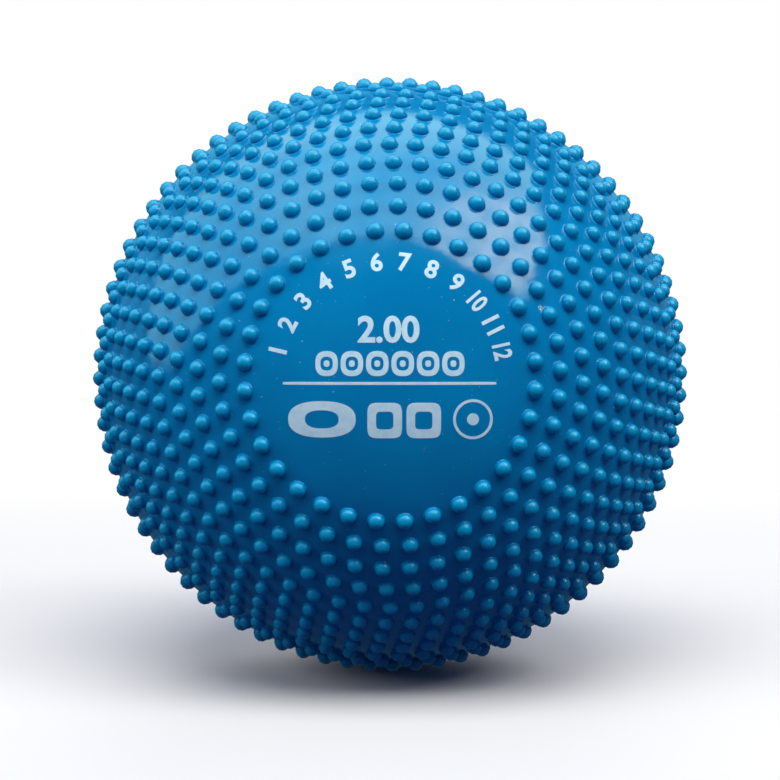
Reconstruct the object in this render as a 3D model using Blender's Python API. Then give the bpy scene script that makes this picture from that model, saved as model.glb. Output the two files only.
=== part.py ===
"""Soft training shot of 2 kg: a nubbed ball of soft PVC, closed by a plug and part filled with sand.

The mould axis runs along Y. The bald patch that takes the print faces -Y, and the filler plug
faces +Y. The ball's centre is the origin. Sizes are in metres.
"""

import math

import bmesh
import bpy
from mathutils import Vector

# Moulded shell
SKIN_RADIUS = 0.073
WALL = 0.005

# Nubs, in rings round the mould axis. Both halves of the mould have the same rings.
NUB_HEIGHT = 0.002
PATCH_RING_RADIUS = 0.0307  # from the mould axis to the nubs of the first ring
RINGS_PER_HALF = 14
FIRST_RING_NUBS = 32
NUBS_ADDED_NEAR_PATCH = 6  # by each of the first few rings
RINGS_ADDING_NEAR_PATCH = 4
NUBS_ADDED_FARTHER_OUT = 4  # by each ring after them
MOST_RING_NUBS = 80
START_MERIDIAN = math.radians(27.9)  # where the first ring starts, from +X towards -Z
MERIDIAN_LEAN = math.radians(-0.58)  # what each next ring adds to that angle

# Bald patches inside the first rings
PATCH_CIRCLES = 4  # circles of points that round a patch, the edge included

# Filler neck, on the mould axis
BOSS_RADIUS = 0.011
BOSS_HEIGHT = 0.003  # inwards from the wall
BORE_CLEARANCE = 0.0003

# Filler plug
HEAD_RADIUS = 0.008
HEAD_THICKNESS = 0.002
HEAD_CHAMFER = 0.0004
STEM_RADIUS = 0.0047
BARB_RADIUS = 0.0058
BARB_LENGTH = 0.0045
BARB_TIP_RADIUS = 0.0034

# Loose sand
SAND_LEVEL = 0.025  # over the ball's centre, where the heap meets the wall
HEAP_RISE = 0.005  # from there to the top of the heap
SAND_CLEARANCE = 0.0003

# Fineness and shading
TURN_STEPS = 32
ARC_STEPS = 14
WELD_DISTANCE = 1e-6
CREASE = math.radians(40)

# Sizes that follow
PATCH_RING_COLATITUDE = math.asin(PATCH_RING_RADIUS / SKIN_RADIUS)
RING_STEP = (math.pi / 2 - PATCH_RING_COLATITUDE) / (RINGS_PER_HALF - 0.5)
CAVITY_RADIUS = SKIN_RADIUS - WALL
BOSS_END = CAVITY_RADIUS - BOSS_HEIGHT
POCKET_RADIUS = HEAD_RADIUS + BORE_CLEARANCE
BORE_RADIUS = STEM_RADIUS + BORE_CLEARANCE
PLUG_FACE = math.sqrt(SKIN_RADIUS**2 - POCKET_RADIUS**2)
POCKET_FLOOR = PLUG_FACE - HEAD_THICKNESS - BORE_CLEARANCE
STEM_END = PLUG_FACE - BOSS_END + BORE_CLEARANCE  # under the plug's face
BARB_END = STEM_END + BARB_LENGTH
CUT_OVERRUN = WALL  # how far a cutter runs past what it cuts


def clear_scene():
    for obj in list(bpy.data.objects):
        bpy.data.objects.remove(obj, do_unlink=True)


def principled(name, colour, roughness, metallic=0.0):
    material = bpy.data.materials.new(name)
    material.use_nodes = True
    shader = material.node_tree.nodes["Principled BSDF"]
    shader.inputs["Base Color"].default_value = (*colour, 1.0)
    shader.inputs["Roughness"].default_value = roughness
    shader.inputs["Metallic"].default_value = metallic
    material.diffuse_color = (*colour, 1.0)
    return material


def add_object(name, mesh, material=None):
    obj = bpy.data.objects.new(name, mesh)
    bpy.context.scene.collection.objects.link(obj)
    if material is not None:
        mesh.materials.append(material)
    return obj


def face_mould_axis(obj, along=0.0):
    """Turns an object's own +Z to the mould axis, and moves it along that axis."""
    obj.rotation_euler = (-math.pi / 2, 0.0, 0.0)
    obj.location = (0.0, along, 0.0)


def make_cutter(obj):
    obj.hide_render = True
    obj.display_type = "WIRE"


def cut(obj, cutter, name):
    modifier = obj.modifiers.new(name, "BOOLEAN")
    modifier.operation = "DIFFERENCE"
    modifier.solver = "EXACT"
    modifier.object = cutter


def turned_mesh(name, outline):
    """A solid turned about its own Z. The outline is (radius, height) pairs from axis to axis."""
    bm = bmesh.new()
    points = [bm.verts.new((radius, 0.0, height)) for radius, height in outline]
    edges = [bm.edges.new(ends) for ends in zip(points, points[1:])]
    bmesh.ops.spin(
        bm,
        geom=points + edges,
        cent=(0.0, 0.0, 0.0),
        axis=(0.0, 0.0, 1.0),
        angle=2 * math.pi,
        steps=TURN_STEPS,
        use_merge=True,
    )
    bmesh.ops.remove_doubles(bm, verts=bm.verts, dist=WELD_DISTANCE)
    bmesh.ops.recalc_face_normals(bm, faces=bm.faces)
    mesh = bpy.data.meshes.new(name)
    bm.to_mesh(mesh)
    bm.free()
    return mesh


def shade_round(mesh):
    """Smooth sides, with a crease where they turn sharply, as round the foot of a nub."""
    mesh.shade_smooth()
    mesh.set_sharp_from_angle(angle=CREASE)


def nubs_in_ring(ring):
    """32, 38 and so on by sixes near the patch, then by fours up to 80. The first ring is 0."""
    near = min(ring, RINGS_ADDING_NEAR_PATCH)
    farther = ring - near
    count = FIRST_RING_NUBS + NUBS_ADDED_NEAR_PATCH * near + NUBS_ADDED_FARTHER_OUT * farther
    return min(count, MOST_RING_NUBS)


def skin_point(colatitude, longitude, half):
    """On the skin, at a colatitude from the front pole (half -1) or the back pole (half 1)."""
    from_axis = SKIN_RADIUS * math.sin(colatitude)
    return Vector(
        (
            from_axis * math.cos(longitude),
            half * SKIN_RADIUS * math.cos(colatitude),
            -from_axis * math.sin(longitude),
        )
    )


def circle_on_skin(bm, colatitude, count, start, half):
    turns = [start + 2 * math.pi * index / count for index in range(count)]
    return [bm.verts.new(skin_point(colatitude, turn, half)) for turn in turns]


def add_nub_rings(bm, half):
    nubs = []
    for ring in range(RINGS_PER_HALF):
        colatitude = PATCH_RING_COLATITUDE + ring * RING_STEP
        start = START_MERIDIAN + ring * MERIDIAN_LEAN
        nubs += circle_on_skin(bm, colatitude, nubs_in_ring(ring), start, half)
    return nubs


def add_bald_patch(bm, half):
    """Circles of skin points inside the first ring. The outermost lies between its nubs."""
    edge = PATCH_RING_COLATITUDE - RING_STEP / 2
    start = START_MERIDIAN + math.pi / FIRST_RING_NUBS
    for circle in range(1, PATCH_CIRCLES + 1):
        share = circle / PATCH_CIRCLES
        circle_on_skin(bm, edge * share, round(FIRST_RING_NUBS * share), start, half)
    bm.verts.new(skin_point(0.0, 0.0, half))


def nubbed_ball_mesh():
    """The moulded outside, with one pointed nub to each cell of the rings' pattern.

    The hull of all points on the skin joins each nub to its neighbours. A valley point goes into
    each triangle of three nubs, and the edges from nub to nub are turned to run from valley to
    valley. Then the nubs are raised, so that each stands alone inside a loop of valley points.
    """
    bm = bmesh.new()
    nubs = add_nub_rings(bm, -1) + add_nub_rings(bm, 1)
    add_bald_patch(bm, -1)
    add_bald_patch(bm, 1)
    bmesh.ops.convex_hull(bm, input=bm.verts)
    raised = set(nubs)
    between_nubs = [face for face in bm.faces if raised.issuperset(face.verts)]
    nub_to_nub = [edge for edge in bm.edges if raised.issuperset(edge.verts)]
    valleys = bmesh.ops.poke(bm, faces=between_nubs)["verts"]
    bmesh.ops.rotate_edges(bm, edges=nub_to_nub)
    for valley in valleys:
        valley.co = valley.co.normalized() * SKIN_RADIUS
    for nub in nubs:
        nub.co = nub.co.normalized() * (SKIN_RADIUS + NUB_HEIGHT)
    bmesh.ops.recalc_face_normals(bm, faces=bm.faces)
    mesh = bpy.data.meshes.new("shell")
    bm.to_mesh(mesh)
    bm.free()
    return mesh


def arc_to(radius, end_radius):
    """Outline of a ball from its front pole back to where it is end_radius from the axis."""
    sweep = math.pi - math.asin(end_radius / radius)
    angles = [sweep * step / ARC_STEPS for step in range(ARC_STEPS + 1)]
    return [(radius * math.sin(angle), -radius * math.cos(angle)) for angle in angles]


def cavity_outline():
    """The hollow of the shell, with the filler boss left standing in it."""
    return arc_to(CAVITY_RADIUS, BOSS_RADIUS) + [(BOSS_RADIUS, BOSS_END), (0.0, BOSS_END)]


def filler_hole_outline():
    """A pocket for the plug's head, and the bore for its stem."""
    return [
        (0.0, SKIN_RADIUS + CUT_OVERRUN),
        (POCKET_RADIUS, SKIN_RADIUS + CUT_OVERRUN),
        (POCKET_RADIUS, POCKET_FLOOR),
        (BORE_RADIUS, POCKET_FLOOR),
        (BORE_RADIUS, BOSS_END - CUT_OVERRUN),
        (0.0, BOSS_END - CUT_OVERRUN),
    ]


def plug_outline():
    """A flat head, the stem, and the barb that snaps in behind the boss. The face is at zero."""
    return [
        (0.0, 0.0),
        (HEAD_RADIUS - HEAD_CHAMFER, 0.0),
        (HEAD_RADIUS, -HEAD_CHAMFER),
        (HEAD_RADIUS, -HEAD_THICKNESS),
        (STEM_RADIUS, -HEAD_THICKNESS),
        (STEM_RADIUS, -STEM_END),
        (BARB_RADIUS, -STEM_END),
        (BARB_TIP_RADIUS, -BARB_END),
        (0.0, -BARB_END),
    ]


def sand_outline():
    """The sand before it is levelled: the hollow less a clearance, the boss and the barb."""
    round_boss = BOSS_RADIUS + SAND_CLEARANCE
    under_boss = BOSS_END - SAND_CLEARANCE
    round_barb = BARB_RADIUS + SAND_CLEARANCE
    under_barb = PLUG_FACE - BARB_END - SAND_CLEARANCE
    return arc_to(CAVITY_RADIUS - SAND_CLEARANCE, round_boss) + [
        (round_boss, under_boss),
        (round_barb, under_boss),
        (round_barb, under_barb),
        (0.0, under_barb),
    ]


def air_outline():
    """The air over the sand, whose underside is the low cone of a heap."""
    outside = CAVITY_RADIUS + CUT_OVERRUN
    at_wall = math.sqrt(CAVITY_RADIUS**2 - SAND_LEVEL**2)
    level_outside = SAND_LEVEL - HEAP_RISE * (outside / at_wall - 1)
    return [
        (0.0, SAND_LEVEL + HEAP_RISE),
        (outside, level_outside),
        (outside, outside),
        (0.0, outside),
    ]


def build_shell(material):
    shell = add_object("shell", nubbed_ball_mesh(), material)
    shade_round(shell.data)
    cavity = add_object("cavity_cutter", turned_mesh("cavity_cutter", cavity_outline()))
    filler_hole = add_object("filler_hole_cutter", turned_mesh("filler_hole_cutter", filler_hole_outline()))
    for cutter in (cavity, filler_hole):
        face_mould_axis(cutter)
        make_cutter(cutter)
        cut(shell, cutter, cutter.name)
    return shell


def build_filler_plug(material):
    plug = add_object("filler_plug", turned_mesh("filler_plug", plug_outline()), material)
    face_mould_axis(plug, PLUG_FACE)
    shade_round(plug.data)
    return plug


def build_sand_fill(material):
    sand = add_object("sand_fill", turned_mesh("sand_fill", sand_outline()), material)
    face_mould_axis(sand)
    shade_round(sand.data)
    air = add_object("air_cutter", turned_mesh("air_cutter", air_outline()))
    make_cutter(air)
    cut(sand, air, "level")
    return sand


def main():
    clear_scene()
    blue_pvc = principled("blue_pvc", (0.0, 0.195, 0.51), 0.28)
    sand_grains = principled("sand_grains", (0.50, 0.39, 0.25), 0.9)
    build_shell(blue_pvc)
    build_filler_plug(blue_pvc)
    build_sand_fill(sand_grains)


main()
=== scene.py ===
"""Soft training shot of 2 kg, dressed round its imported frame.

The ball's centre is the origin and the mould axis runs along Y. The printed patch faces -Y, the
filler plug faces +Y, and +Z is up. Sizes are in metres, and angles in radians.
"""

import math

import bmesh
import bpy
import numpy as np
from bpy.props import FloatProperty, FloatVectorProperty, PointerProperty
from mathutils.geometry import delaunay_2d_cdt
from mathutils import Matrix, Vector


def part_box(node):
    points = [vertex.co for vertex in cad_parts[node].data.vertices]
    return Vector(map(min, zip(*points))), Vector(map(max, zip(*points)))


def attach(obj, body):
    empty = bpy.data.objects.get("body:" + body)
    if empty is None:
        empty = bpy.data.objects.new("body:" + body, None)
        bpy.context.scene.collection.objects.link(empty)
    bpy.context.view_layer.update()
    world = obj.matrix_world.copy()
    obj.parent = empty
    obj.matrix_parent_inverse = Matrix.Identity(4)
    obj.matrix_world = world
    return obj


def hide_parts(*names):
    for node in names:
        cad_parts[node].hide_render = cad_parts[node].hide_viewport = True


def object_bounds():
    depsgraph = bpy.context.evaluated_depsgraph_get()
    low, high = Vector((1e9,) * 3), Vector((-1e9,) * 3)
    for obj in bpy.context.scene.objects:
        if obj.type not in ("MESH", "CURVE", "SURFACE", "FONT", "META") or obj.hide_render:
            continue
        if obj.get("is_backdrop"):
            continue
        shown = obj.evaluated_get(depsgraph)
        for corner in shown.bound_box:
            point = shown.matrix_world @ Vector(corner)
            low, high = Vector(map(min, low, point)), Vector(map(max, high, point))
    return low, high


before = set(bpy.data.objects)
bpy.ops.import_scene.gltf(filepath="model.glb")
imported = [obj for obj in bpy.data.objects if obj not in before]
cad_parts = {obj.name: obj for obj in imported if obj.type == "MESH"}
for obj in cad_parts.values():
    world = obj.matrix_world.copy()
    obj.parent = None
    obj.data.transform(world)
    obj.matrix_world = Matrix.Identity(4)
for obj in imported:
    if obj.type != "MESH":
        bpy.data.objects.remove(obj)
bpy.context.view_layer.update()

bl_info = {
    "name": "Soft training shot",
    "version": (1, 0, 0),
    "blender": (4, 5, 0),
    "location": "3D View > Sidebar > Training shot",
    "description": "Builds a nubbed soft shot with its print, plug and sand, in a plain studio",
    "category": "Add Mesh",
}

# Moulded skin, read from the frame
SKIN_RADIUS = -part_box("shell")[0].y
WALL = 0.005

# Nubs, in rings round the mould axis, the same on both halves
PATCH_RING_RADIUS = 0.0307  # from the mould axis to the nubs of the first ring
RINGS_PER_HALF = 14
FIRST_RING_NUBS = 32
NUBS_ADDED_NEAR_PATCH = 6
RINGS_ADDING_NEAR_PATCH = 4
NUBS_ADDED_FARTHER_OUT = 4
MOST_RING_NUBS = 80
START_MERIDIAN = math.radians(27.9)  # where the first ring starts, from +X towards -Z
MERIDIAN_LEAN = math.radians(-0.58)  # what each next ring adds to that angle
LAST_LEANING_RING = 10  # the last ring that adds this lean, counted from 0
MIDDLE_LEAN = math.radians(-0.2)  # what each ring after that one adds
OWN_TURNS = {1: math.radians(-1.0), 9: math.radians(-2.0)}  # rings that are turned farther
PATCH_RING_COLATITUDE = math.asin(PATCH_RING_RADIUS / SKIN_RADIUS)
RING_STEP = (math.pi / 2 - PATCH_RING_COLATITUDE) / (RINGS_PER_HALF - 0.5)

# Fineness of the nubs: sides round each, and the turns of its rows from its tip down
NUB_SIDES = 12
NUB_TURNS = np.radians([0.0, 34.0, 62.0, 86.0])

# Parting line round the middle
SEAM_HALF_WIDTH = 0.00035
SEAM_COLUMNS = 160

# Filler neck and plug, on the mould axis
PLUG_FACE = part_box("filler_plug")[1].y
HEAD_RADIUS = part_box("filler_plug")[1].x
PLUG_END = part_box("filler_plug")[0].y
NECK_CLEARANCE = 0.0003
HEAD_THICKNESS = 0.002
STEM_RADIUS = 0.0047
BARB_RADIUS = 0.0058
BARB_LENGTH = 0.0045
BARB_TIP_RADIUS = 0.0034
BOSS_RADIUS = 0.011
BOSS_HEIGHT = 0.003
RIM_ROUNDING = 0.0003
HEAD_ROUNDING = 0.0005
GATE_RADIUS = 0.0009  # the small round mark that the plug's mould leaves in its face
GATE_DEPTH = 0.00015
CAVITY_RADIUS = SKIN_RADIUS - WALL
BOSS_END = CAVITY_RADIUS - BOSS_HEIGHT
POCKET_RADIUS = HEAD_RADIUS + NECK_CLEARANCE
POCKET_FLOOR = PLUG_FACE - HEAD_THICKNESS - NECK_CLEARANCE
BORE_RADIUS = STEM_RADIUS + NECK_CLEARANCE

# Fineness of turned surfaces
TURN_COLUMNS = 96
ROUNDING_STEPS = 4
PATCH_ROWS = 12
CAVITY_ROWS = 24
CREASE = math.radians(50)

# Finish of the skin. Dust and pinholes have a spacing, a radius and a share of cells.
SKIN_ROUGHNESS = 0.08
NUB_ROUGHNESS = 0.18  # added on the nubs
SMUDGE_ROUGHNESS = 0.06  # added where the skin is smudged
DUST_ROUGHNESS = 0.4  # added on the coarse and fine dust
NUB_BLEND = (0.1, 0.45)  # shares of a nub's height between which the skin turns duller, and takes the nubs' lighter blue, which is painted light
COARSE_DUST = (0.0040, 0.00018, 0.50)
FINE_DUST = (0.0013, 0.00010, 0.45)
PLUG_DUST = (0.0015, 0.0001, 0.4)
INK_PINHOLES = (0.0013, 0.00007, 0.3)
TURNED_RING_PITCH = 0.00045  # of the rings in the plug
GRAINS_PER_METRE = 1600.0

# Small nick in the skin, between two nubs to the upper right of the print. It has no depth in the mesh
# and is painted shade.
NICK_PLACE = (0.0320, -0.0640, 0.0146)
NICK_EDGE = (0.00060, 0.00080)  # distances between which it ends
NICK_RAGGEDNESS = 0.0004

# Print, placed from the middle of the patch: x to the right, z up
ARC_NUMBERS = 12
ARC_RADIUS = 0.0241
ARC_START = math.radians(167)  # of the first number, from +x
ARC_END = math.radians(12.5)
ARC_NUMBER_HEIGHT = 0.0040
ARC_NUMBER_WIDTH = 0.0033
WEIGHT_MARK = "2.00"
WEIGHT_CENTRE = (-0.0003, 0.0098)
WEIGHT_SIZE = (0.0143, 0.0057)
ROW_MARKS = 6
ROW_PITCH = 0.00526
ROW_CENTRE = (0.0, 0.0027)
PRINT_GRID = 0.0015  # spacing of the cuts that let the print follow the patch
PRINT_SINK = 0.00005  # how far the print's underside lies in the skin
CUT_TOLERANCE = 1e-8
WELD_DISTANCE = 1e-7
BOLD_OFFSET = 0.03  # what is added round the font's outlines
FIGURE_STEPS = 5  # of each curved part of a figure
MARK_STEPS = 48

# Plain marks: centre, size, power of the outline, and the shares of the size at which it nests
RULE = ((-0.0001, -0.0014), (0.0446, 0.00062), 12.0, (1.0,))
LOWER_MARKS = (
    ((-0.0142, -0.0089), (0.0142, 0.0076), 2.4, (1.0, 0.5)),
    ((-0.0011, -0.0091), (0.0072, 0.0074), 5.0, (1.0, 0.5)),
    ((0.0070, -0.0091), (0.0072, 0.0074), 5.0, (1.0, 0.5)),
    ((0.0173, -0.0089), (0.0084, 0.0084), 2.0, (1.0, 0.86, 0.3)),
)
ROW_MARK = ((0.0047, 0.0052), 2.6, (1.0, 0.55, 0.26))  # each mark of the row, without its centre

# Floor and background
FLOOR_FADE = (0.10, 0.60)  # distances between which the floor turns from matt to plain white
WHITE = (1.0, 1.0, 1.0)

# Dome that only shine shows, with its sky laid out flat
DOME_LIFT = 0.0005  # over the floor
DOME_ROWS = 24
LEAST_HEIGHT = 0.1  # lower points are laid out as if they were this high
HORIZON = 0.1  # share of the dome's radius up to which the sky fades in
CLOUD_CENTRE = (1.0, 0.7, 0.0)
CLOUD_EDGE = (0.45, 0.95)
FRONT_EDGE = (0.70, 0.84)
RIGHT_EDGE = (0.93, 1.08)
BACK_EDGE = (-0.68, -0.48)
RAGGEDNESS = 0.35  # of all these edges

# Lamps: name, size, place, and the studio setting that gives the power
PANELS = (
    ("front_panel", (1.0, 0.8), (0.0, -0.64, 1.01), "front_power"),
    ("right_panel", (0.5, 0.5), (0.76, -0.53, 0.76), "side_power"),
    ("left_panel", (0.8, 0.6), (-1.05, -0.35, 0.45), "side_power"),
    ("back_panel", (0.9, 0.7), (0.1, 1.12, 0.40), "back_power"),
)

# Camera
PICTURE_WIDTH = 780
PICTURE_HEIGHT = 780
FOCAL_PIXELS = 1416
BALL_ROW = 375  # the picture's row that the ball's centre lies on
SENSOR_WIDTH = 36.0  # in millimetres, as the camera's lens is
NEAR_CLIP = 0.01


def length(name, description, default):
    return FloatProperty(
        name=name,
        description=description,
        default=default,
        precision=5,
        unit="LENGTH",
        subtype="DISTANCE",
    )


def angle(name, description, degrees):
    return FloatProperty(
        name=name,
        description=description,
        default=math.radians(degrees),
        unit="ROTATION",
        subtype="ANGLE",
    )


def colour(name, description, default):
    return FloatVectorProperty(
        name=name,
        description=description,
        default=default,
        size=3,
        min=0.0,
        max=1.0,
        subtype="COLOR",
    )


def brightness(name, description, default):
    return FloatProperty(name=name, description=description, default=default, min=0.0, subtype="FACTOR")


class ShotSizes(bpy.types.PropertyGroup):
    """Sizes of the visible skin and print"""

    nub_height: length("Nub height", "From the skin to a nub's tip", 0.002)
    nub_reach: length("Nub reach", "From a nub's middle to its side", 0.00186)
    nub_base: length("Nub base", "Height at which a nub's dome starts", 0.00018)
    nub_fillet: length("Nub fillet", "Reach of the soft fillet round a nub's foot", 0.00032)
    patch_radius: length("Patch radius", "From the mould axis to a bald patch's edge", 0.0283)
    patch_curve: length("Patch curve", "Radius that the printed patch is curved to", 0.082)
    seam_height: length("Seam height", "Rise of the parting line", 0.00012)
    print_rise: length("Print rise", "Thickness of the ink over the skin", 0.00004)


class ShotColours(bpy.types.PropertyGroup):
    """Colours of the pieces"""

    skin: colour("Skin", "Soft blue plastic", (0.0, 0.25, 0.53))
    skin_deep: colour("Skin, deeper", "The plastic where it is mottled darker", (0.0, 0.22, 0.48))
    # Painted light: this lighter blue stands in for the light that the nubs' domes catch; only their
    # dullness is their own.
    nub: colour("Nubs", "Blue of the duller nubs", (0.0, 0.33, 0.60))
    dust: colour("Dust", "Pale specks on the skin", (0.30, 0.52, 0.66))
    # Painted shade: the nick's near-black stands in for the shade in the cut, which the mesh does not
    # have.
    nick: colour("Nick", "The dark of the small nick", (0.03, 0.03, 0.05))
    plug: colour("Plug", "Softer blue plastic of the plug", (0.0, 0.22, 0.52))
    ink: colour("Ink", "Print", (0.69, 0.92, 0.97))
    ink_thin: colour("Ink, thin", "Print where the ink is thin", (0.56, 0.82, 0.92))
    sand: colour("Sand", "Most of the grains", (0.50, 0.39, 0.25))
    sand_dark: colour("Sand, dark", "The darker grains", (0.22, 0.16, 0.10))


class StudioSettings(bpy.types.PropertyGroup):
    """Camera, lights and floor"""

    camera_distance: length("Camera distance", "From the camera to the ball's centre", 0.365)
    camera_rise: angle("Camera rise", "How far the camera stands over the ball's level", 0.27)
    floor_radius: length("Floor radius", "Radius of the floor", 4.0)
    floor_colour: colour("Floor", "The floor as it is seen", (0.92, 0.90, 0.86))
    floor_bounce: colour("Floor bounce", "The floor as it lights the object", (0.035, 0.045, 0.12))
    room_colour: colour("Room", "The dim light from all round", (0.07, 0.10, 0.20))
    dome_radius: length("Dome radius", "From the ball's centre to the dome that its shine shows", 3.0)
    dome_strength: brightness("Dome strength", "What the dome's colours are multiplied by", 7.0)
    dome_bright: colour("Dome, bright", "The bright cloud to the right", (1.0, 0.93, 0.70))
    dome_middle: colour("Dome, middle", "The sky overhead", (0.28, 0.46, 0.37))
    dome_left: colour("Dome, left", "The sky to the left", (0.11, 0.27, 0.30))
    dome_behind: colour("Dome, behind", "The sky behind", (0.02, 0.08, 0.12))
    dome_dark: colour("Dome, dark", "Everything in front, to the right and below", (0.004, 0.012, 0.02))
    front_power: brightness("Front panel", "Power of the broad lamp high in front", 12.5)
    side_power: brightness("Side panels", "Power of each lamp at the sides", 4.0)
    back_power: brightness("Back panel", "Power of the broad lamp behind", 8.0)


class Value:
    """A shader socket. Python's operators on it add the Math nodes that work them out."""

    def __init__(self, finish, socket):
        self.finish = finish
        self.socket = socket

    def math(self, operation, *others, turned=False):
        """A Math node on this socket and the others, which come first where it is turned."""
        operands = (*others, self) if turned else (self, *others)
        inputs = dict(enumerate(operands))
        return self.finish.node("ShaderNodeMath", {"operation": operation}, inputs)

    def __add__(self, other):
        return self.math("ADD", other)

    def __radd__(self, other):
        return self.math("ADD", other, turned=True)

    def __sub__(self, other):
        return self.math("SUBTRACT", other)

    def __rsub__(self, other):
        return self.math("SUBTRACT", other, turned=True)

    def __mul__(self, other):
        return self.math("MULTIPLY", other)

    def __rmul__(self, other):
        return self.math("MULTIPLY", other, turned=True)

    def __truediv__(self, other):
        return self.math("DIVIDE", other)

    def __rtruediv__(self, other):
        return self.math("DIVIDE", other, turned=True)

    def __abs__(self):
        return self.math("ABSOLUTE")

    def either(self, other):
        """The larger of the two."""
        return self.math("MAXIMUM", other)

    def rising(self, low, high):
        """0 up to low, 1 from high on, and smooth between them."""
        return self.finish.node(
            "ShaderNodeMapRange",
            {"interpolation_type": "SMOOTHSTEP"},
            {"Value": self, "From Min": low, "From Max": high},
        )

    def falling(self, low, high):
        """1 up to low, 0 from high on, and smooth between them."""
        return 1.0 - self.rising(low, high)


class Finish:
    """The nodes of one material or world, added one call at a time."""

    def __init__(self, owner):
        owner.use_nodes = True
        self.tree = owner.node_tree
        self.tree.nodes.clear()

    def node(self, kind, settings=None, inputs=None, output=0):
        """Adds a node. Its settings are set first, and then its sockets' values or links."""
        made = self.tree.nodes.new(kind)
        for name, setting in (settings or {}).items():
            setattr(made, name, setting)
        for name, value in (inputs or {}).items():
            if isinstance(value, Value):
                self.tree.links.new(value.socket, made.inputs[name])
            else:
                made.inputs[name].default_value = value
        return Value(self, made.outputs[output])

    def place(self):
        """The point on the piece, in the piece's own coordinates."""
        return self.node("ShaderNodeTexCoord", output="Object")

    def vector_math(self, operation, first, second, output=0):
        """A Vector Math node on two points."""
        inputs = {0: first, 1: second}
        return self.node("ShaderNodeVectorMath", {"operation": operation}, inputs, output)

    def distance(self, point, other=(0.0, 0.0, 0.0)):
        """How far a point lies from another, which is the ball's centre if none is given."""
        return self.vector_math("DISTANCE", point, other, "Value")

    def noise(self, point, scale, detail=2.0, roughness=0.5):
        """Soft noise from 0 to 1 with a mean of about a half. scale is in features to the metre."""
        inputs = {"Vector": point, "Scale": scale, "Detail": detail, "Roughness": roughness}
        return self.node("ShaderNodeTexNoise", None, inputs)

    def cells(self, point, scale, output="Distance"):
        """Cells round scattered points: the distance from a cell's own point, or its colour."""
        return self.node("ShaderNodeTexVoronoi", None, {"Vector": point, "Scale": scale}, output)

    def part(self, colour_value, channel):
        """One channel of a colour, as a number."""
        return self.node("ShaderNodeSeparateColor", None, {"Color": colour_value}, channel)

    def blend(self, share, first, second):
        """A colour that goes from the first to the second."""
        return self.node(
            "ShaderNodeMix",
            {"data_type": "RGBA"},
            {"Factor": share, 6: opaque(first), 7: opaque(second)},
            2,
        )

    def bump(self, height, depth):
        """A normal that leans as the height does, over a depth in metres."""
        return self.node("ShaderNodeBump", None, {"Height": height, "Distance": depth})

    def light_path(self, ray):
        """1 for rays of one kind, and 0 for all others."""
        return self.node("ShaderNodeLightPath", output=ray)

    def seen_rays(self):
        """1 for rays that show a thing itself, straight, mirrored or through glass."""
        straight = self.light_path("Is Camera Ray").either(self.light_path("Is Transmission Ray"))
        return straight.either(self.light_path("Is Glossy Ray"))

    def mixed(self, share, first, second):
        """A shader that goes from the first to the second."""
        return self.node("ShaderNodeMixShader", None, {0: share, 1: first, 2: second})

    def surface(self, kind, shader):
        """Ends the nodes with an output of that kind."""
        self.tree.links.new(shader.socket, self.tree.nodes.new(kind).inputs["Surface"])


def opaque(colour_value):
    """A colour of three numbers with full alpha, or a socket as it is."""
    return colour_value if isinstance(colour_value, Value) else (*colour_value, 1.0)


def principled(finish, inputs):
    """Ends a finish with one principled shader."""
    finish.surface("ShaderNodeOutputMaterial", finish.node("ShaderNodeBsdfPrincipled", None, inputs))


def new_finish(name):
    """An empty material, and the finish that adds its nodes."""
    material = bpy.data.materials.new(name)
    return material, Finish(material)


def specks(finish, point, spacing, radius, share):
    """Round specks, one in each cell of that spacing. Only a share of the cells shows it."""
    scale = 1.0 / spacing
    near = finish.cells(point, scale).falling(0.5 * radius * scale, radius * scale)
    chance = finish.part(finish.cells(point, scale, "Color"), "Red")
    return near * chance.falling(share, share + 0.01)


def hairlines(finish, point, scale, width, share):
    """Thin wandering lines: where noise crosses its mean, and only in patches."""
    line = abs(finish.noise(point, scale, detail=1.0) - 0.5).falling(0.0, width)
    elsewhere = finish.vector_math("ADD", point, (3.0, 1.0, 2.0))
    return line * finish.noise(elsewhere, scale).rising(1.0 - share, 1.05 - share)


def skin_finish(colours, sizes):
    """Glossy skin, duller on the nubs, whose lighter blue is painted light, mottled, with dust,
    hairlines and a small nick in painted shade.
    """
    material, finish = new_finish("blue_soft_plastic")
    point = finish.place()
    height = finish.distance(point) - SKIN_RADIUS
    nub = height.rising(*(share * sizes.nub_height for share in NUB_BLEND))
    mottle = finish.noise(point, 45.0, detail=4.0, roughness=0.6)
    grain = finish.noise(point, 2600.0)
    smudge = finish.noise(point, 120.0, detail=3.0, roughness=0.55)
    dust = specks(finish, point, *COARSE_DUST).either(specks(finish, point, *FINE_DUST))
    scratch = hairlines(finish, point, 150.0, width=0.006, share=0.36)
    marks = (dust * 0.9).either(scratch * 0.15)
    chips = finish.noise(point, 5000.0, detail=1.0)
    nick = (finish.distance(point, NICK_PLACE) + chips * NICK_RAGGEDNESS).falling(*NICK_EDGE)
    smooth = finish.blend(mottle.rising(0.3, 0.7), colours.skin, colours.skin_deep)
    # Painted light: the nubs are blended to a lighter blue for the light that their domes catch.
    body = finish.blend(nub, smooth, colours.nub)
    # Painted shade: near-black where the nick's cut would be in shade, in patches with the ink's pale
    # colour.
    nick_painted_shade = finish.blend(chips.rising(0.45, 0.55), colours.ink, colours.nick)
    duller = nub * NUB_ROUGHNESS + smudge.rising(0.45, 0.75) * SMUDGE_ROUGHNESS
    principled(
        finish,
        {
            "Base Color": finish.blend(nick, finish.blend(marks, body, colours.dust), nick_painted_shade),
            "Roughness": SKIN_ROUGHNESS + duller + dust * DUST_ROUGHNESS,
            "Normal": finish.bump(mottle * 0.4 + smudge * 0.10 + grain * nub * 0.008, depth=0.0004),
        },
    )
    return material


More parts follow.
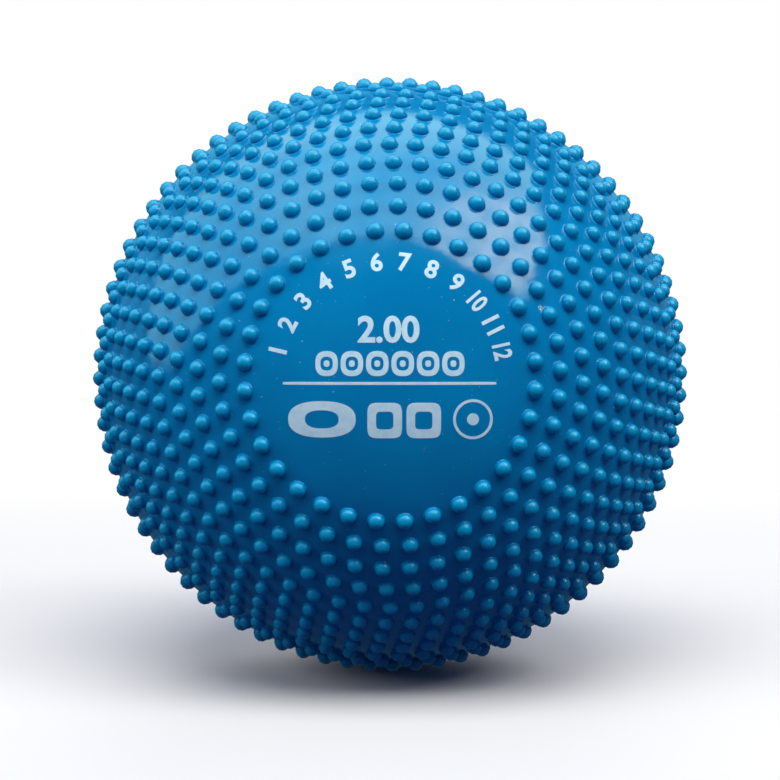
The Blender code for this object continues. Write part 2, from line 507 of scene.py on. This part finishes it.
def plug_finish(colours):
    """Satin plastic with faint rings left by turning its mould."""
    material, finish = new_finish("plug_soft_plastic")
    point = finish.place()
    radius = finish.distance(finish.vector_math("MULTIPLY", point, (1.0, 0.0, 1.0)))
    rings = (radius * (2 * math.pi / TURNED_RING_PITCH)).math("SINE")
    mottle = finish.noise(point, 160.0, detail=4.0, roughness=0.6)
    dust = specks(finish, point, *PLUG_DUST)
    body = finish.blend(mottle.rising(0.3, 0.7), colours.plug, colours.skin_deep)
    principled(
        finish,
        {
            "Base Color": finish.blend(dust * 0.5, body, colours.dust),
            "Roughness": 0.26 + mottle * 0.12 + dust * 0.3,
            "Coat Weight": 0.15 * (1.0 - dust),
            "Coat Roughness": 0.2,
            "Normal": finish.bump(rings * 0.04 + mottle, depth=0.00002),
        },
    )
    return material


def ink_finish(colours):
    """Screen-printed ink, uneven, with pinholes that show the skin."""
    material, finish = new_finish("print_ink")
    point = finish.place()
    cover = finish.noise(point, 420.0, detail=4.0, roughness=0.65)
    pinholes = specks(finish, point, *INK_PINHOLES)
    ink = finish.blend(cover.rising(0.35, 0.7), colours.ink, colours.ink_thin)
    principled(
        finish,
        {
            "Base Color": finish.blend(pinholes * 0.7, ink, colours.skin),
            "Roughness": 0.34 + cover * 0.14,
            "Coat Weight": 0.1 * (1.0 - pinholes),
            "Coat Roughness": 0.2,
            "Normal": finish.bump(finish.noise(point, 1800.0, detail=3.0), depth=0.00001),
        },
    )
    return material


def sand_finish(colours):
    """Loose dry sand: grains of three tones in cells of their own, each a little proud."""
    material, finish = new_finish("loose_sand")
    point = finish.place()
    tone = finish.part(finish.cells(point, GRAINS_PER_METRE, "Color"), "Red")
    mound = finish.cells(point, GRAINS_PER_METRE)
    patches = finish.noise(point, 60.0, detail=3.0)
    grains = finish.blend(tone.rising(0.55, 0.9), colours.sand, colours.sand_dark)
    pale = tuple(min(1.0, 1.5 * channel) for channel in colours.sand)
    principled(
        finish,
        {
            "Base Color": finish.blend(tone.falling(0.08, 0.2) * patches, grains, pale),
            "Roughness": 0.82 + tone * 0.15,
            "Normal": finish.bump(1.0 - mound, depth=0.0003),
        },
    )
    return material


def dome_finish(studio):
    """A sky with a bright cloud high on the right, dark below a slanting edge on that side.

    The sky is laid out flat: how far right and how far ahead a point lies, over its height.
    """
    material, finish = new_finish("mirrored_sky")
    point = finish.place()
    x, y, z = (finish.node("ShaderNodeSeparateXYZ", None, {0: point}, axis) for axis in "XYZ")
    height = z.either(LEAST_HEIGHT)
    right = x / height
    ahead = 0.0 - y / height
    flat = finish.node("ShaderNodeCombineXYZ", None, {0: right, 1: ahead})
    cloud = finish.noise(flat, 1.6, detail=4.0, roughness=0.55)
    ragged = (cloud - 0.5) * RAGGEDNESS
    front_edge = (ahead - 0.3 * right.either(0.0) + ragged).falling(*FRONT_EDGE)
    right_edge = (right - 0.6 * ahead + ragged).falling(*RIGHT_EDGE)
    back_edge = (ahead - 0.2 * right).rising(*BACK_EDGE)
    over_horizon = z.rising(0.0, HORIZON * studio.dome_radius)
    glow = (finish.distance(flat, CLOUD_CENTRE) + ragged * 2.0).falling(*CLOUD_EDGE)
    glow = glow * (0.35 + finish.noise(flat, 4.5, detail=3.0).rising(0.35, 0.6) * 0.65)
    middle = right.rising(-1.4, -0.3) * cloud.rising(0.30, 0.62)
    sky = finish.blend(middle, studio.dome_left, studio.dome_middle)
    sky = finish.blend(glow, sky, studio.dome_bright)
    behind = z.rising(0.0, 0.35 * studio.dome_radius) * ahead.falling(-1.6, -0.9)
    around = finish.blend(behind, studio.dome_dark, studio.dome_behind)
    colour_there = finish.blend(over_horizon * front_edge * right_edge * back_edge, around, sky)
    glowing = {"Color": colour_there, "Strength": studio.dome_strength}
    finish.surface("ShaderNodeOutputMaterial", finish.node("ShaderNodeEmission", None, glowing))
    return material


class Surface:
    """Blocks of points with their outward normals, and the faces between them, all as arrays."""

    def __init__(self):
        self.points = []
        self.normals = []
        self.faces = []
        self.size = 0

    def add(self, points, normals=None):
        """Keeps a block of points. The numbers that it returns have the block's own layout.

        Points without normals take those that their faces give.
        """
        numbers = self.size + np.arange(points[..., 0].size).reshape(points.shape[:-1])
        self.points.append(points.reshape(-1, 3))
        kept = np.zeros_like(points) if normals is None else normals
        self.normals.append(kept.reshape(-1, 3))
        self.size += numbers.size
        return numbers

    def at(self, numbers):
        """The points that have those numbers."""
        return np.concatenate(self.points)[numbers]

    def join(self, *corners):
        """One face for each place of the corners' layouts."""
        self.faces.append(side_by_side(*corners).reshape(-1, len(corners)))

    def band(self, first, second):
        """Faces between two closed rows. A row of one point is a tip, and gets triangles.

        They face outwards where going from the first row to the second, and then on along the
        rows, turns anticlockwise as seen from outside.
        """
        first_next = np.roll(first, -1, axis=-1)
        second_next = np.roll(second, -1, axis=-1)
        if first.shape[-1] == 1:
            self.join(first, second, second_next)
        elif second.shape[-1] == 1:
            self.join(first, second, first_next)
        else:
            self.join(first, second, second_next, first_next)

    def mesh(self, name, material):
        """All points and faces as one mesh."""
        mesh = bpy.data.meshes.new(name)
        faces = [face for block in self.faces for face in block.tolist()]
        mesh.from_pydata(np.concatenate(self.points), [], faces)
        mesh.materials.append(material)
        return mesh

    def piece(self, name, material):
        """The finished piece, at the origin. Its points keep the normals that they were given."""
        mesh = self.mesh(name, material)
        shade_round(mesh)
        normals = np.concatenate(self.normals)
        if normals.any():
            mesh.normals_split_custom_set_from_vertices(normals.tolist())
        return add_piece(name, mesh)


def shade_round(mesh):
    """Smooth, with a crease where the faces turn sharply."""
    mesh.shade_smooth()
    mesh.set_sharp_from_angle(angle=CREASE)


def add_object(name, data):
    """An object at the origin, linked to the scene."""
    made = bpy.data.objects.new(name, data)
    bpy.context.scene.collection.objects.link(made)
    return made


def add_piece(name, mesh):
    """Adds a piece of the ball, which has one body only."""
    piece = add_object(name, mesh)
    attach(piece, "root")
    return piece


def side_by_side(*columns):
    """Arrays spread to one layout, as the last axis of one array."""
    return np.stack(np.broadcast_arrays(*columns), axis=-1)


def full_turn(steps):
    """Angles once round in even steps, the first at zero."""
    return 2 * np.pi * np.arange(steps) / steps


def nub_places():
    """Colatitude and longitude of one half's nubs.

    Ring i lies at the first ring's colatitude plus i steps. Its nub k lies at the start meridian
    plus a lean for each ring before it plus k turns over the ring's count. The rings nearest the
    middle lean less, and two rings have a turn of their own besides.
    """
    ring = np.arange(RINGS_PER_HALF)
    near = np.minimum(ring, RINGS_ADDING_NEAR_PATCH)
    grown = FIRST_RING_NUBS + NUBS_ADDED_NEAR_PATCH * near + NUBS_ADDED_FARTHER_OUT * (ring - near)
    counts = np.minimum(grown, MOST_RING_NUBS)
    of_ring = np.repeat(ring, counts)
    place = np.arange(counts.sum()) - np.repeat(np.cumsum(counts) - counts, counts)
    colatitude = PATCH_RING_COLATITUDE + of_ring * RING_STEP
    own_turn = np.zeros(RINGS_PER_HALF)
    own_turn[list(OWN_TURNS)] = list(OWN_TURNS.values())
    leaning = np.minimum(ring, LAST_LEANING_RING)
    start = START_MERIDIAN + leaning * MERIDIAN_LEAN + (ring - leaning) * MIDDLE_LEAN + own_turn
    return colatitude, start[of_ring] + 2 * np.pi * place / counts[of_ring]


def direction(colatitude, longitude, half):
    """Unit vector at an angle from the front pole (half -1) or the back pole (half 1).

    x is sin colatitude times cos longitude, z is minus sin colatitude times sin longitude, and y
    is half times cos colatitude.
    """
    across = np.sin(colatitude)
    along = half * np.cos(colatitude)
    return side_by_side(across * np.cos(longitude), along, -across * np.sin(longitude))


def nub_profile(sizes):
    """Reach along the skin, rise over it, and lean of the surface, from a nub's tip to its foot.

    The dome is a quarter of an ellipse: reach times sin t and height times cos t over its base,
    with the lean of an ellipse's normal. The foot's fillet ends level with the skin.
    """
    dome = sizes.nub_height - sizes.nub_base
    reach = sizes.nub_reach * np.sin(NUB_TURNS)
    rise = sizes.nub_base + dome * np.cos(NUB_TURNS)
    lean = np.arctan2(dome * np.sin(NUB_TURNS), sizes.nub_reach * np.cos(NUB_TURNS))
    foot = sizes.nub_reach + sizes.nub_fillet
    return np.append(reach, foot), np.append(rise, 0.0), np.append(lean, 0.0)


def add_nubs(surface, half, sizes):
    """All nubs of one half. Returns the numbers of their feet, one row of points for each nub.

    A nub's point lies at the skin's radius plus its rise, turned from the nub's axis by its reach
    over the skin's radius. Its normal leans from there by the profile's lean.
    """
    colatitude, longitude = nub_places()
    axis = direction(colatitude, longitude, half)
    across = direction(colatitude + np.pi / 2, longitude, half)
    along = np.cross(axis, across)
    turn = full_turn(NUB_SIDES)[:, None]
    outward = np.cos(turn) * across[:, None, None] + np.sin(turn) * along[:, None, None]
    reach, rise, lean = (part[:, None, None] for part in nub_profile(sizes))
    axis = axis[:, None, None]
    away = reach / SKIN_RADIUS
    radial = np.cos(away) * axis + np.sin(away) * outward
    onward = np.cos(away) * outward - np.sin(away) * axis
    points = (SKIN_RADIUS + rise) * radial
    normals = np.cos(lean) * radial + np.sin(lean) * onward
    tips = surface.add(points[:, 0, :1], normals[:, 0, :1])
    rows = surface.add(points[:, 1:], normals[:, 1:])
    surface.band(tips, rows[:, 0])
    surface.band(rows[:, :-1], rows[:, 1:])
    return rows[:, -1]


def add_skin_between(surface, half, feet, patch_edge, seam_foot):
    """The skin between the nubs' feet, the patch's edge and the parting line.

    The points are laid flat at their colatitude from the pole, and triangles join each to its
    neighbours. A triangle whose corners lie on one foot, or all on the patch's edge, is left out.
    """
    numbers = np.concatenate([feet.ravel(), patch_edge, seam_foot])
    place = surface.at(numbers)
    colatitude = np.arccos(half * place[:, 1] / np.linalg.norm(place, axis=1))
    longitude = np.arctan2(-place[:, 2], place[:, 0])
    flat = np.stack([colatitude * np.cos(longitude), colatitude * np.sin(longitude)], axis=-1)
    triangles = np.array(delaunay_2d_cdt(flat.tolist(), [], [], 0, 0.0)[2])
    nub_of = np.repeat(np.arange(len(feet)), feet.shape[1])
    seam_of = len(feet) + 1 + np.arange(len(seam_foot))
    loop = np.concatenate([nub_of, np.full(len(patch_edge), len(feet)), seam_of])[triangles]
    triangles = triangles[(loop != loop[:, :1]).any(axis=1)]
    corners = place[triangles]
    facing = np.cross(corners[:, 1] - corners[:, 0], corners[:, 2] - corners[:, 0])
    inwards = (facing * corners[:, 0]).sum(axis=1) < 0
    triangles[inwards] = triangles[inwards][:, ::-1]
    surface.join(*numbers[triangles].T)


def turned_row(radius, along, columns):
    """Points round the mould axis, or the one point on it."""
    turn = full_turn(columns if radius > 0 else 1)
    return side_by_side(radius * np.cos(turn), along, -radius * np.sin(turn))


def add_turned(surface, profile, columns, first_row=None, backwards=False):
    """Turns a profile of (radius, place along the mould axis) and joins its rows, from first_row on.

    backwards is for a profile that goes in towards the axis on a side that faces +Y.
    """
    previous = first_row
    for radius, along in profile:
        row = surface.add(turned_row(radius, along, columns))
        if previous is not None:
            surface.band(*((row, previous) if backwards else (previous, row)))
        previous = row


def arc(centre, radius, start, end, steps):
    """Points of a profile on a circle: radius times sin t out, and radius times cos t along."""
    turn = np.linspace(start, end, steps + 1)
    return side_by_side(centre[0] + radius * np.sin(turn), centre[1] + radius * np.cos(turn))


def printed_patch_centre(sizes):
    """Where on the mould axis the printed patch's curve has its centre.

    It is the root of the curve's radius squared less the patch's squared, less the same root for
    the skin's radius, so that the patch's edge meets the skin.
    """
    edge = math.sqrt(SKIN_RADIUS**2 - sizes.patch_radius**2)
    return math.sqrt(sizes.patch_curve**2 - sizes.patch_radius**2) - edge


def printed_patch_profile(sizes):
    """From inside the patch's edge in to the axis, on the printed patch's flatter curve."""
    edge = math.asin(sizes.patch_radius / sizes.patch_curve)
    turns = math.pi - np.array([edge, 0.0])
    profile = arc((0.0, printed_patch_centre(sizes)), sizes.patch_curve, *turns, PATCH_ROWS)[1:]
    profile[-1, 0] = 0.0
    return profile


def neck_profile(sizes):
    """From inside the back patch's edge to the pocket, the bore, the boss and round the cavity."""
    patch_edge = math.asin(sizes.patch_radius / SKIN_RADIUS)
    rim = math.asin((POCKET_RADIUS + RIM_ROUNDING) / SKIN_RADIUS)
    rim_level = (SKIN_RADIUS - RIM_ROUNDING) * math.cos(rim)
    patch = arc((0.0, 0.0), SKIN_RADIUS, patch_edge, rim, PATCH_ROWS)[1:]
    rim_centre = (POCKET_RADIUS + RIM_ROUNDING, rim_level)
    rounding = arc(rim_centre, RIM_ROUNDING, 0.0, -np.pi / 2, ROUNDING_STEPS)[1:]
    boss_edge = math.asin(BOSS_RADIUS / CAVITY_RADIUS)
    cavity = arc((0.0, 0.0), CAVITY_RADIUS, boss_edge, np.pi, CAVITY_ROWS)
    cavity[-1, 0] = 0.0
    neck = [
        (POCKET_RADIUS, POCKET_FLOOR),
        (BORE_RADIUS, POCKET_FLOOR),
        (BORE_RADIUS, BOSS_END),
        (BOSS_RADIUS, BOSS_END),
    ]
    return np.concatenate([patch, rounding, neck, cavity])


def build_nubbed_shell(sizes, material):
    """One closed skin: nubs, patches, parting line, filler neck and the cavity's wall."""
    surface = Surface()
    seam_turn = full_turn(SEAM_COLUMNS)
    seam_level = np.pi / 2 - SEAM_HALF_WIDTH / SKIN_RADIUS
    ridge_way = direction(np.pi / 2, seam_turn, 1)
    ridge = surface.add((SKIN_RADIUS + sizes.seam_height) * ridge_way, ridge_way)
    patch_turn = full_turn(TURN_COLUMNS)
    patch_level = math.asin(sizes.patch_radius / SKIN_RADIUS)
    for half, profile in ((-1, printed_patch_profile(sizes)), (1, neck_profile(sizes))):
        seam_way = direction(seam_level, seam_turn, half)
        edge_way = direction(patch_level, patch_turn, half)
        seam_foot = surface.add(SKIN_RADIUS * seam_way, seam_way)
        patch_edge = surface.add(SKIN_RADIUS * edge_way, edge_way)
        feet = add_nubs(surface, half, sizes)
        add_skin_between(surface, half, feet, patch_edge, seam_foot)
        surface.band(*((ridge, seam_foot) if half < 0 else (seam_foot, ridge)))
        add_turned(surface, profile, TURN_COLUMNS, patch_edge, backwards=half > 0)
    return surface.piece("nubbed_shell", material)


def build_filler_plug(material):
    """A turned plug: flat face with a gate mark, rounded head, stem and barb.

    Rows close to the gate mark's edges and to the rounding keep the face's shading flat.
    """
    head_centre = (HEAD_RADIUS - HEAD_ROUNDING, PLUG_FACE - HEAD_ROUNDING)
    head_edge = arc(head_centre, HEAD_ROUNDING, 0.0, np.pi / 2, ROUNDING_STEPS)
    head_back = PLUG_FACE - HEAD_THICKNESS
    stem_end = PLUG_END + BARB_LENGTH
    face = [
        (0.0, PLUG_FACE - GATE_DEPTH),
        (GATE_RADIUS - 2 * GATE_DEPTH, PLUG_FACE - GATE_DEPTH),
        (GATE_RADIUS - GATE_DEPTH, PLUG_FACE - GATE_DEPTH),
        (GATE_RADIUS, PLUG_FACE),
        (GATE_RADIUS + GATE_DEPTH, PLUG_FACE),
        (HEAD_RADIUS - 1.5 * HEAD_ROUNDING, PLUG_FACE),
    ]
    shank = [
        (HEAD_RADIUS, head_back),
        (STEM_RADIUS, head_back),
        (STEM_RADIUS, stem_end),
        (BARB_RADIUS, stem_end),
        (BARB_TIP_RADIUS, PLUG_END),
        (0.0, PLUG_END),
    ]
    surface = Surface()
    add_turned(surface, np.concatenate([face, head_edge, shank]), TURN_COLUMNS)
    return surface.piece("soft_plug", material)


def superellipse(size, power, share):
    """A closed outline: half the share of the size, times the signed power 2/n of cos t and sin t."""
    turn = full_turn(MARK_STEPS)
    round_trip = side_by_side(np.cos(turn), np.sin(turn))
    return 0.5 * share * np.array(size) * np.sign(round_trip) * np.abs(round_trip) ** (2 / power)


def outline_slab(outlines):
    """A flat slab one unit to each side of its outlines. An outline within another is a hole."""
    curve = bpy.data.curves.new("mark", "CURVE")
    curve.dimensions = "2D"
    for outline in outlines:
        spline = curve.splines.new("POLY")
        spline.points.add(len(outline) - 1)
        padded = np.zeros((len(outline), 4))
        padded[:, :2] = outline
        spline.points.foreach_set("co", padded.ravel())
        spline.use_cyclic_u = True
    return slab_mesh(curve)


def text_slab(text):
    """A flat slab of plain figures one unit to each side, a little bolder than the font."""
    curve = bpy.data.curves.new("figures", "FONT")
    curve.body = text
    curve.offset = BOLD_OFFSET
    curve.resolution_u = FIGURE_STEPS
    return slab_mesh(curve)


def slab_mesh(curve):
    """Fills and thickens a flat curve, and leaves only its mesh."""
    curve.fill_mode = "BOTH"
    curve.extrude = 1.0
    holder = bpy.data.objects.new(curve.name, curve)
    mesh = bpy.data.meshes.new_from_object(holder)
    bpy.data.objects.remove(holder)
    bpy.data.curves.remove(curve)
    slab = bmesh.new()
    slab.from_mesh(mesh)
    bpy.data.meshes.remove(mesh)
    return slab


def slab_points(slab):
    """All its points as one array."""
    points = np.empty(3 * len(slab.verts))
    scratch = bpy.data.meshes.new("scratch")
    slab.to_mesh(scratch)
    scratch.vertices.foreach_get("co", points)
    bpy.data.meshes.remove(scratch)
    return points.reshape(-1, 3)


def set_slab_points(slab, points):
    """Moves its points to those of an array."""
    scratch = bpy.data.meshes.new("scratch")
    slab.to_mesh(scratch)
    scratch.vertices.foreach_set("co", points.ravel())
    slab.clear()
    slab.from_mesh(scratch)
    bpy.data.meshes.remove(scratch)


def fitted(points, centre, height, width, turn=0.0):
    """Flat points scaled to a height, no wider than a width, then turned and moved."""
    low, high = points[:, :2].min(axis=0), points[:, :2].max(axis=0)
    scale_up = height / (high - low)[1]
    scale_across = min(scale_up, width / (high - low)[0])
    flat = (points[:, :2] - (low + high) / 2) * (scale_across, scale_up)
    cos, sin = math.cos(turn), math.sin(turn)
    turned = flat @ np.array([[cos, sin], [-sin, cos]])
    return np.column_stack([turned + centre, points[:, 2]])


def grid_cut(slab):
    """Cuts a slab along lines of the print's grid, so that its faces are small enough to bend."""
    for axis in (0, 1):
        places = slab_points(slab)[:, axis]
        first, last = np.ceil(places.min() / PRINT_GRID), np.floor(places.max() / PRINT_GRID)
        for step in np.arange(first, last + 1):
            at = [0.0, 0.0, 0.0]
            normal = [0.0, 0.0, 0.0]
            at[axis] = step * PRINT_GRID
            normal[axis] = 1.0
            everything = slab.verts[:] + slab.edges[:] + slab.faces[:]
            bmesh.ops.bisect_plane(
                slab, geom=everything, dist=CUT_TOLERANCE, plane_co=at, plane_no=normal
            )


def print_piece(name, slabs, sizes, material):
    """Lays flat slabs on the printed patch: the upper side stands proud and the lower is sunk.

    A point (x, z) lies at the square root of the curve's radius squared less x squared less z
    squared from the curve's centre, and is then moved along the curve's normal.
    """
    centre = printed_patch_centre(sizes)
    whole = bmesh.new()
    for slab in slabs:
        bmesh.ops.remove_doubles(slab, verts=slab.verts, dist=WELD_DISTANCE)
        grid_cut(slab)
        flat = slab_points(slab)
        depth = np.sqrt(sizes.patch_curve**2 - (flat[:, :2] ** 2).sum(axis=1))
        on_curve = np.column_stack([flat[:, 0], -depth, flat[:, 1]])
        lift = np.where(flat[:, 2] > 0, sizes.print_rise, -PRINT_SINK)[:, None]
        laid = on_curve * (1.0 + lift / sizes.patch_curve) + (0.0, centre, 0.0)
        set_slab_points(slab, laid)
        mesh = bpy.data.meshes.new("slab")
        slab.to_mesh(mesh)
        whole.from_mesh(mesh)
        bpy.data.meshes.remove(mesh)
        slab.free()
    bmesh.ops.recalc_face_normals(whole, faces=whole.faces)
    mesh = bpy.data.meshes.new(name)
    whole.to_mesh(mesh)
    whole.free()
    shade_round(mesh)
    mesh.materials.append(material)
    add_piece(name, mesh)


def number_slab(text, centre, height, width, turn=0.0):
    """Figures fitted to a height and a width, and put in their place."""
    slab = text_slab(text)
    set_slab_points(slab, fitted(slab_points(slab), centre, height, width, turn))
    return slab


def mark_slab(centre, size, power, shares):
    """Nested outlines of one form: a rim round a hole, and a middle where there are three."""
    return outline_slab([superellipse(size, power, share) + centre for share in shares])


def build_print(sizes, material):
    """Plain figures and plain marks, where the object carries its print."""
    turns = np.linspace(ARC_START, ARC_END, ARC_NUMBERS)
    numbers = [
        number_slab(
            str(index + 1),
            (ARC_RADIUS * math.cos(turn), ARC_RADIUS * math.sin(turn)),
            ARC_NUMBER_HEIGHT,
            ARC_NUMBER_WIDTH,
            turn - math.pi / 2,
        )
        for index, turn in enumerate(turns)
    ]
    print_piece("number_arc", numbers, sizes, material)
    weight = number_slab(WEIGHT_MARK, WEIGHT_CENTRE, WEIGHT_SIZE[1], WEIGHT_SIZE[0])
    print_piece("weight_mark", [weight], sizes, material)
    from_middle = [(index - (ROW_MARKS - 1) / 2) * ROW_PITCH for index in range(ROW_MARKS)]
    row = [mark_slab((ROW_CENTRE[0] + x, ROW_CENTRE[1]), *ROW_MARK) for x in from_middle]
    print_piece("mark_row", row, sizes, material)
    print_piece("rule_line", [mark_slab(*RULE)], sizes, material)
    print_piece("lower_marks", [mark_slab(*mark) for mark in LOWER_MARKS], sizes, material)


def build_floor(studio):
    """A flat round floor under the lowest nubs, pale where it is seen and white farther out."""
    material, finish = new_finish("pale_floor")
    seen = finish.seen_rays()
    far = finish.distance(finish.place()).rising(*FLOOR_FADE)
    paint = finish.blend(seen, studio.floor_bounce, studio.floor_colour)
    matt = finish.node("ShaderNodeBsdfDiffuse", None, {"Color": paint})
    white = finish.node("ShaderNodeEmission", None, {"Color": opaque(WHITE)})
    finish.surface("ShaderNodeOutputMaterial", finish.mixed(far * seen, matt, white))
    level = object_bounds()[0].z
    turn = full_turn(TURN_COLUMNS)
    surface = Surface()
    middle = surface.add(np.array([[0.0, 0.0, level]]))
    rim = side_by_side(studio.floor_radius * np.cos(turn), studio.floor_radius * np.sin(turn), level)
    surface.band(middle, surface.add(rim))
    floor = add_object("floor", surface.mesh("floor", material))
    floor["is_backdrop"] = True


def build_dome(studio):
    """A sky that only the ball's shine shows: a sheet along the floor and a half sphere over it.

    Its profile runs out along the floor and then up an arc of the dome's radius to the top.
    """
    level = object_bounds()[0].z + DOME_LIFT
    low = math.asin(level / studio.dome_radius)
    up = arc((0.0, 0.0), studio.dome_radius, np.pi / 2 - low, 0.0, DOME_ROWS)
    radius, along = np.concatenate([[(DOME_LIFT, level)], up]).T[:, :, None]
    turn = full_turn(TURN_COLUMNS)
    surface = Surface()
    rows = surface.add(side_by_side(radius * np.sin(turn), -radius * np.cos(turn), along))
    surface.band(rows[1:], rows[:-1])
    dome = add_object("dome", surface.mesh("dome", dome_finish(studio)))
    dome.visible_camera = False
    dome.visible_diffuse = False
    dome.visible_transmission = False
    dome.visible_shadow = False
    dome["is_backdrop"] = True


def build_world(studio):
    """Dim light from all round, and a white background behind what the camera sees."""
    world = bpy.data.worlds.new("studio_room")
    bpy.context.scene.world = world
    finish = Finish(world)
    room = finish.node("ShaderNodeBackground", None, {"Color": opaque(studio.room_colour)})
    white = finish.node("ShaderNodeBackground", None, {"Color": opaque(WHITE)})
    finish.surface("ShaderNodeOutputWorld", finish.mixed(finish.seen_rays(), room, white))


def add_panel(name, size, place, power):
    """A soft rectangular lamp that faces the ball's centre."""
    light = bpy.data.lights.new(name, "AREA")
    light.shape = "RECTANGLE"
    light.size, light.size_y = size
    light.energy = power
    lamp = add_object(name, light)
    lamp.location = place
    lamp.rotation_euler = (-lamp.location).to_track_quat("-Z", "Y").to_euler()
    lamp.visible_camera = False
    lamp.visible_glossy = False


def build_lamps(studio):
    """Broad soft lamps in front, on both sides and behind. The dome makes the highlights."""
    for name, size, place, setting in PANELS:
        add_panel(name, size, place, getattr(studio, setting))


def build_camera(studio):
    """Aimed a little under the ball, so that its centre lies on its row of the picture."""
    view = bpy.data.cameras.new("camera")
    view.sensor_width = SENSOR_WIDTH
    view.lens = SENSOR_WIDTH * FOCAL_PIXELS / PICTURE_WIDTH
    view.clip_start = NEAR_CLIP
    camera = add_object("camera", view)
    rise = studio.camera_rise
    camera.location = (
        0.0,
        -studio.camera_distance * math.cos(rise),
        studio.camera_distance * math.sin(rise),
    )
    under = math.atan((PICTURE_HEIGHT / 2 - BALL_ROW) / FOCAL_PIXELS)
    camera.rotation_euler = (math.pi / 2 - rise - under, 0.0, 0.0)
    bpy.context.scene.camera = camera


class SHOT_OT_nubbed_shell(bpy.types.Operator):
    """Builds the moulded skin with its nubs, patches and filler neck"""

    bl_idname = "shot.nubbed_shell"
    bl_label = "Nubbed shell"

    def execute(self, context):
        sizes = context.scene.shot_sizes
        piece = build_nubbed_shell(sizes, skin_finish(context.scene.shot_colours, sizes))
        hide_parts("shell")
        return {"FINISHED"}


class SHOT_OT_filler_plug(bpy.types.Operator):
    """Builds the soft plug in the back patch"""

    bl_idname = "shot.filler_plug"
    bl_label = "Filler plug"

    def execute(self, context):
        piece = build_filler_plug(plug_finish(context.scene.shot_colours))
        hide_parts("filler_plug")
        return {"FINISHED"}


class SHOT_OT_sand(bpy.types.Operator):
    """Gives the sand inside its grains"""

    bl_idname = "shot.sand"
    bl_label = "Sand"

    def execute(self, context):
        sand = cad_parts["sand_fill"]
        sand.data.materials.clear()
        sand.data.materials.append(sand_finish(context.scene.shot_colours))
        return {"FINISHED"}


class SHOT_OT_print(bpy.types.Operator):
    """Lays plain figures and marks on the printed patch"""

    bl_idname = "shot.print"
    bl_label = "Print"

    def execute(self, context):
        build_print(context.scene.shot_sizes, ink_finish(context.scene.shot_colours))
        return {"FINISHED"}


class SHOT_OT_stage(bpy.types.Operator):
    """Builds the floor, room, lamps and camera"""

    bl_idname = "shot.stage"
    bl_label = "Stage"

    def execute(self, context):
        studio = context.scene.shot_studio
        build_floor(studio)
        build_dome(studio)
        build_world(studio)
        build_lamps(studio)
        build_camera(studio)
        context.scene.view_settings.view_transform = "Standard"
        return {"FINISHED"}


OPERATORS = (SHOT_OT_nubbed_shell, SHOT_OT_filler_plug, SHOT_OT_sand, SHOT_OT_print, SHOT_OT_stage)


class SHOT_PT_panel(bpy.types.Panel):
    """Lists the pieces of the shot in the order in which they are built"""

    bl_idname = "SHOT_PT_panel"
    bl_label = "Training shot"
    bl_space_type = "VIEW_3D"
    bl_region_type = "UI"
    bl_category = "Training shot"

    def draw(self, context):
        for operator in OPERATORS:
            self.layout.operator(operator.bl_idname)


CLASSES = (ShotSizes, ShotColours, StudioSettings, *OPERATORS, SHOT_PT_panel)


def register():
    for cls in CLASSES:
        bpy.utils.register_class(cls)
    bpy.types.Scene.shot_sizes = PointerProperty(type=ShotSizes)
    bpy.types.Scene.shot_colours = PointerProperty(type=ShotColours)
    bpy.types.Scene.shot_studio = PointerProperty(type=StudioSettings)


def unregister():
    del bpy.types.Scene.shot_studio
    del bpy.types.Scene.shot_colours
    del bpy.types.Scene.shot_sizes
    for cls in reversed(CLASSES):
        bpy.utils.unregister_class(cls)


def main():
    register()
    bpy.ops.shot.nubbed_shell()
    bpy.ops.shot.filler_plug()
    bpy.ops.shot.sand()
    bpy.ops.shot.print()
    bpy.ops.shot.stage()


if __name__ == "__main__":
    main()
